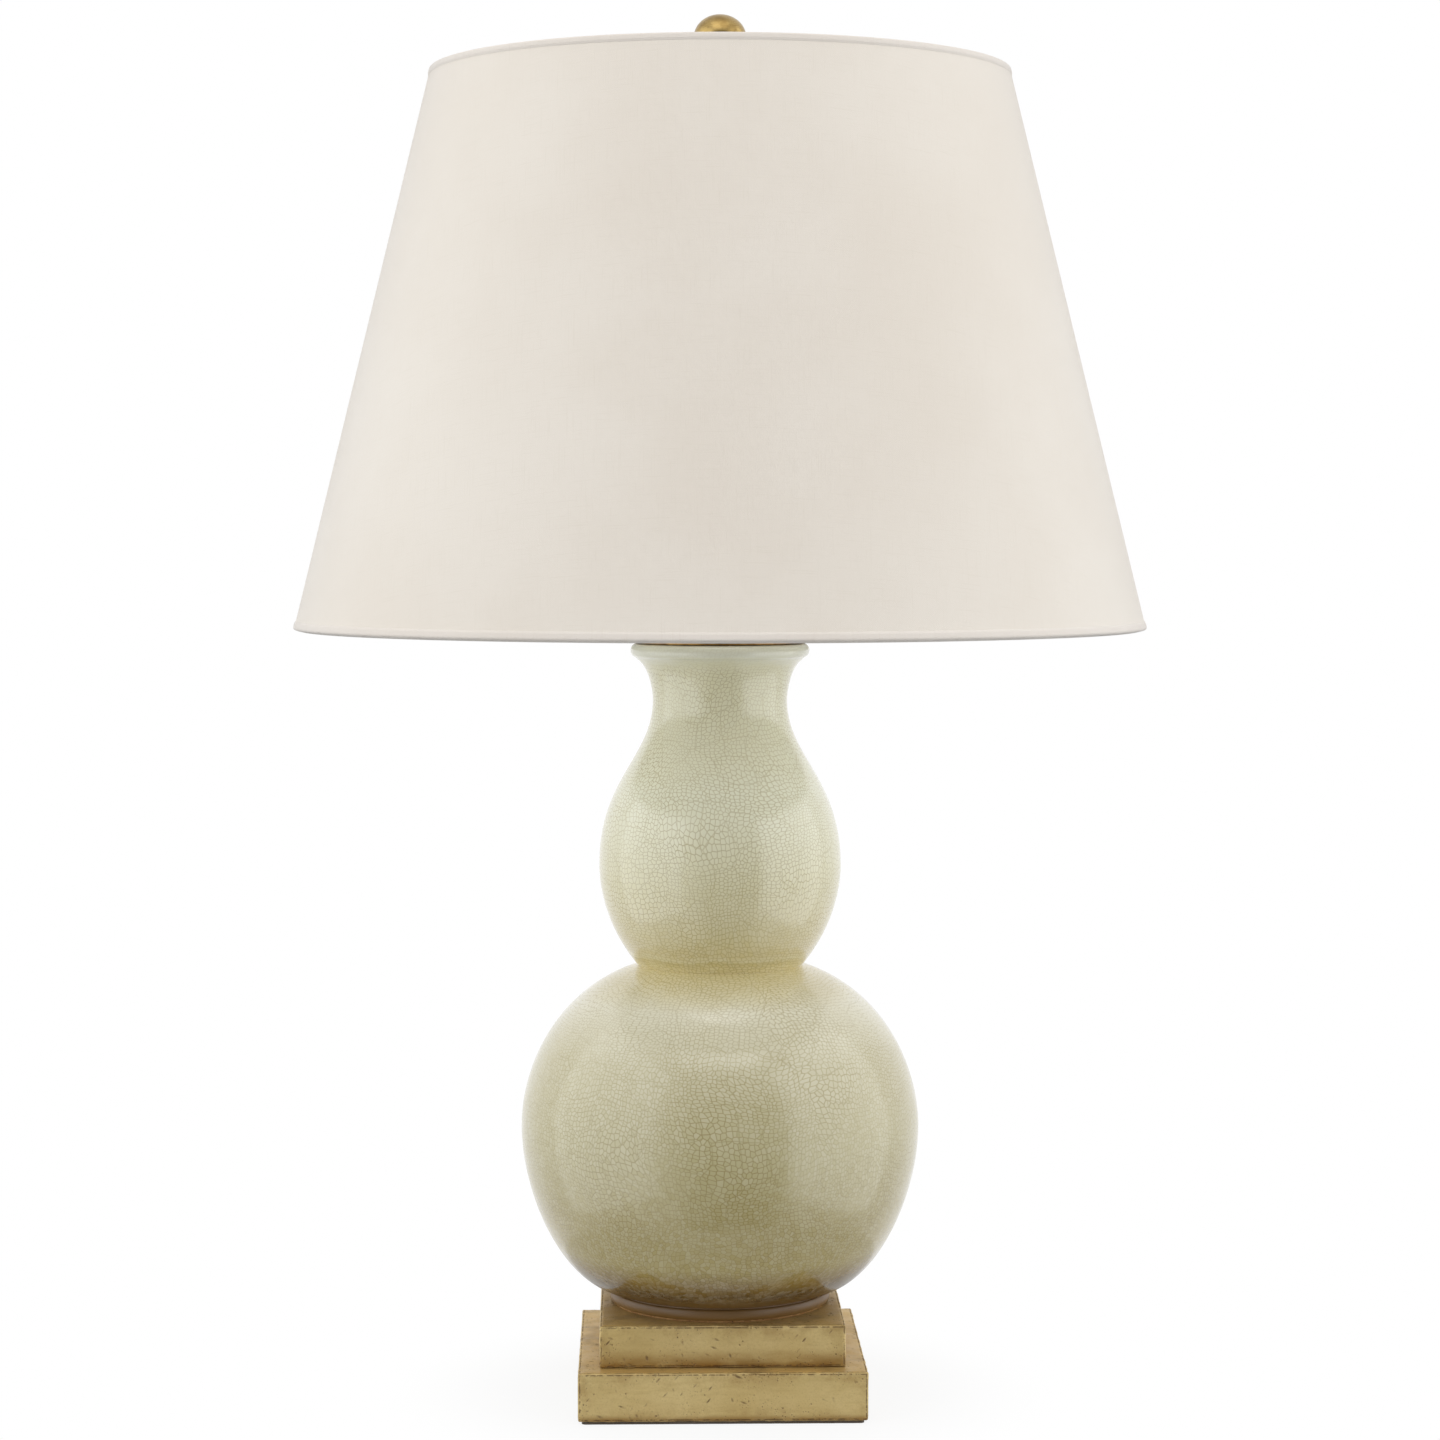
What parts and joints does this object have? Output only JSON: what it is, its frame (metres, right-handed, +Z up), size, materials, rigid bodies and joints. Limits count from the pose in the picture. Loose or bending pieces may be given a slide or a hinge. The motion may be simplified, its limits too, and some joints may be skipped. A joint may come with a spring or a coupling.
{
  "type": "gourd table lamp",
  "caption": "Table lamp with a waisted, crackle-glazed ceramic gourd on a stepped gilt plinth, brass fittings, a wire harp and a flared linen shade.",
  "frame": {"origin": "on the table, under the middle of the plinth", "axes": "+Z up along the lamp's pipe; the front is -Y and the cord bushing is at +Y; the harp lies in the XZ plane"},
  "size_m": [0.4571, 0.4572, 0.7425],
  "materials": {
    "felt": "thin dark brown felt",
    "antique_gold": "antique gold leaf over turned wood, rubbed darker at the edges",
    "zinc_steel": "zinc plated steel",
    "black_bakelite": "black moulded plastic",
    "cork": "thin cork ring",
    "crackle_glaze": "pale celadon glaze with fine ochre crackle",
    "antique_brass": "aged satin brass",
    "polished_brass": "bright brass",
    "satin_brass": "satin brass",
    "fibre_paper": "insulating fibre paper",
    "porcelain": "unglazed white porcelain",
    "solder": "solder",
    "black_glass": "black glass",
    "bulb_metal": "plain aluminium",
    "frosted_glass": "frosted white glass",
    "white_wire": "white painted wire",
    "white_styrene": "white styrene backing",
    "linen": "off-white linen, fine plain weave",
    "linen_trim": "folded edge trim of the same linen"
  },
  "bodies": {
    "base": {"felt_pad": "felt", "plinth_lower": "antique_gold", "plinth_upper": "antique_gold", "plinth_screws": "zinc_steel", "cord_bushing": "black_bakelite", "base_nut": "zinc_steel", "base_lock_washer": "zinc_steel", "base_washer": "zinc_steel", "threaded_rod": "zinc_steel", "foot_gasket": "cork", "gourd_body": "crackle_glaze", "vase_cap": "antique_brass", "check_ring": "antique_brass", "brass_neck": "antique_brass", "harp_saddle": "polished_brass", "saddle_nut": "polished_brass", "socket_cap": "polished_brass", "socket_set_screw": "polished_brass", "socket_shell": "polished_brass", "socket_liner": "fibre_paper", "socket_body": "porcelain", "screw_shell": "polished_brass", "centre_contact": "polished_brass", "terminal_screws": "polished_brass"},
    "switch": {"switch_shaft": "zinc_steel", "switch_knob": "black_bakelite"},
    "bulb_tip": {"bulb_contact": "solder", "bulb_insulator": "black_glass"},
    "bulb": {"bulb_cap": "bulb_metal", "bulb_globe": "frosted_glass"},
    "harp": {"harp_wire": "polished_brass"},
    "sleeve_left": {"harp_sleeve_left": "polished_brass"},
    "sleeve_right": {"harp_sleeve_right": "polished_brass"},
    "stud": {"harp_stud": "polished_brass"},
    "shade": {"shade_fitter": "white_wire", "shade_bottom_ring": "white_wire", "shade_liner": "white_styrene", "shade_fabric": "linen", "shade_top_trim": "linen_trim", "shade_bottom_trim": "linen_trim"},
    "finial_foot": {"finial_base": "satin_brass"},
    "finial": {"finial_ball": "satin_brass"}
  },
  "joints": [
    {"name": "switch_turn", "type": "hinge", "parent": "base", "child": "switch", "pos_m": [0, -0.0165, 0.4819], "axis": [0, -1, 0], "continuous": true},
    {"name": "bulb_rise", "type": "slide", "parent": "base", "child": "bulb_tip", "axis": [0, 0, 1], "range_m": [0, 0.021]},
    {"name": "bulb_turn", "type": "hinge", "parent": "bulb_tip", "child": "bulb", "pos_m": [0, 0, 0.5], "axis": [0, 0, 1], "range_deg": [0, 2083]},
    {"name": "harp_lift", "type": "slide", "parent": "base", "child": "harp", "axis": [0, 0, 1], "range_m": [0, 0.024]},
    {"name": "sleeve_left_slide", "type": "slide", "parent": "harp", "child": "sleeve_left", "axis": [0, 0, 1], "range_m": [0, 0.013]},
    {"name": "sleeve_right_slide", "type": "slide", "parent": "harp", "child": "sleeve_right", "axis": [0, 0, 1], "range_m": [0, 0.013]},
    {"name": "stud_swivel", "type": "hinge", "parent": "harp", "child": "stud", "pos_m": [0, 0, 0.695], "axis": [0, 0, 1], "continuous": true},
    {"name": "shade_lift", "type": "slide", "parent": "stud", "child": "shade", "axis": [0, 0, 1], "range_m": [0, 0.018]},
    {"name": "finial_rise", "type": "slide", "parent": "shade", "child": "finial_foot", "axis": [0, 0, 1], "range_m": [0, 0.0076]},
    {"name": "finial_turn", "type": "hinge", "parent": "finial_foot", "child": "finial", "pos_m": [0, 0, 0.71], "axis": [0, 0, 1], "range_deg": [0, 2880]}
  ],
  "couplings": [
    {"joint": "bulb_rise", "follows": "bulb_turn", "m_per_rad": 0.00057757},
    {"joint": "finial_rise", "follows": "finial_turn", "m_per_rad": 0.00014961}
  ]
}
